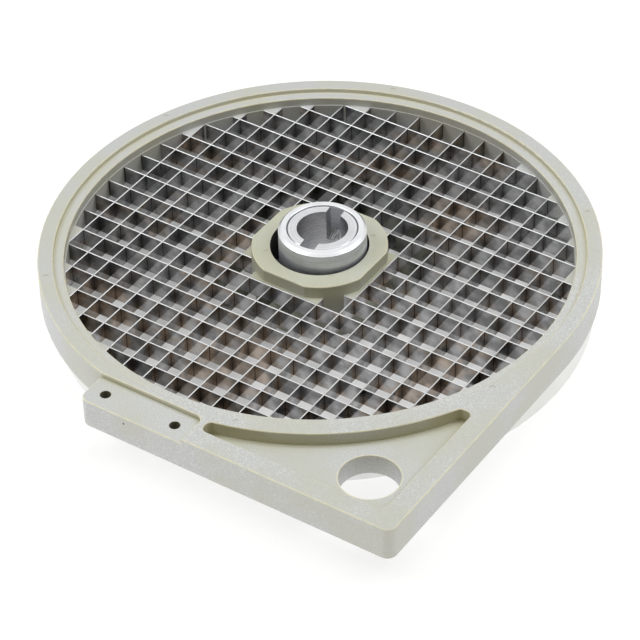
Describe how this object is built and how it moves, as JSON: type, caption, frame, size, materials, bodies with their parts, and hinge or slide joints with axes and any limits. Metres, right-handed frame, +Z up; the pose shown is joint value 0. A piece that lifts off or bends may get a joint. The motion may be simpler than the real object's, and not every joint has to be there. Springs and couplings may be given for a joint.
{
  "type": "dicing disc",
  "caption": "Moulded ring with a square grid of thin steel blades, a corner lug with a finger hole and a keyed steel sleeve in the hub; food pressed through it is cut into cubes.",
  "frame": {"origin": "on the drive axis, which the collar and the sleeve share, on the plane that the disc rests on", "axes": "+Z up, out of the side that the food comes from; X and Y along the blades; the lug points to +X -Y"},
  "size_m": [0.2112, 0.2216, 0.0341],
  "materials": {
    "frame_plastic": "beige-grey glass-filled plastic with a fine pale speckle, moulded",
    "collar_plastic": "smooth white plastic",
    "blade_steel": "polished steel strip",
    "sleeve_steel": "satin turned steel",
    "spring_steel": "dark spring steel"
  },
  "bodies": {
    "disc": {"grid_frame": "frame_plastic", "locating_collar": "collar_plastic", "hub": "frame_plastic", "retaining_ring": "spring_steel", "blade_x_01": "blade_steel", "blade_x_02": "blade_steel", "blade_x_03": "blade_steel", "blade_x_04": "blade_steel", "blade_x_05": "blade_steel", "blade_x_06": "blade_steel", "blade_x_07": "blade_steel", "blade_x_08": "blade_steel", "blade_x_09": "blade_steel", "blade_x_10": "blade_steel", "blade_x_11": "blade_steel", "blade_x_12": "blade_steel", "blade_x_13": "blade_steel", "blade_x_14": "blade_steel", "blade_x_15": "blade_steel", "blade_x_16": "blade_steel", "blade_x_17": "blade_steel", "blade_x_18": "blade_steel", "blade_x_19": "blade_steel", "blade_x_20": "blade_steel", "blade_x_21": "blade_steel", "blade_x_22": "blade_steel", "blade_y_01": "blade_steel", "blade_y_02": "blade_steel", "blade_y_03": "blade_steel", "blade_y_04": "blade_steel", "blade_y_05": "blade_steel", "blade_y_06": "blade_steel", "blade_y_07": "blade_steel", "blade_y_08": "blade_steel", "blade_y_09": "blade_steel", "blade_y_10": "blade_steel", "blade_y_11": "blade_steel", "blade_y_12": "blade_steel", "blade_y_13": "blade_steel", "blade_y_14": "blade_steel", "blade_y_15": "blade_steel", "blade_y_16": "blade_steel", "blade_y_17": "blade_steel", "blade_y_18": "blade_steel", "blade_y_19": "blade_steel", "blade_y_20": "blade_steel", "blade_y_21": "blade_steel", "blade_y_22": "blade_steel"},
    "sleeve": {"drive_sleeve": "sleeve_steel", "key_sleeve": "sleeve_steel"}
  },
  "joints": [
    {"name": "sleeve_turn", "type": "hinge", "parent": "disc", "child": "sleeve", "pos_m": [0, 0, 0.02], "axis": [0, 0, 1], "continuous": true}
  ]
}
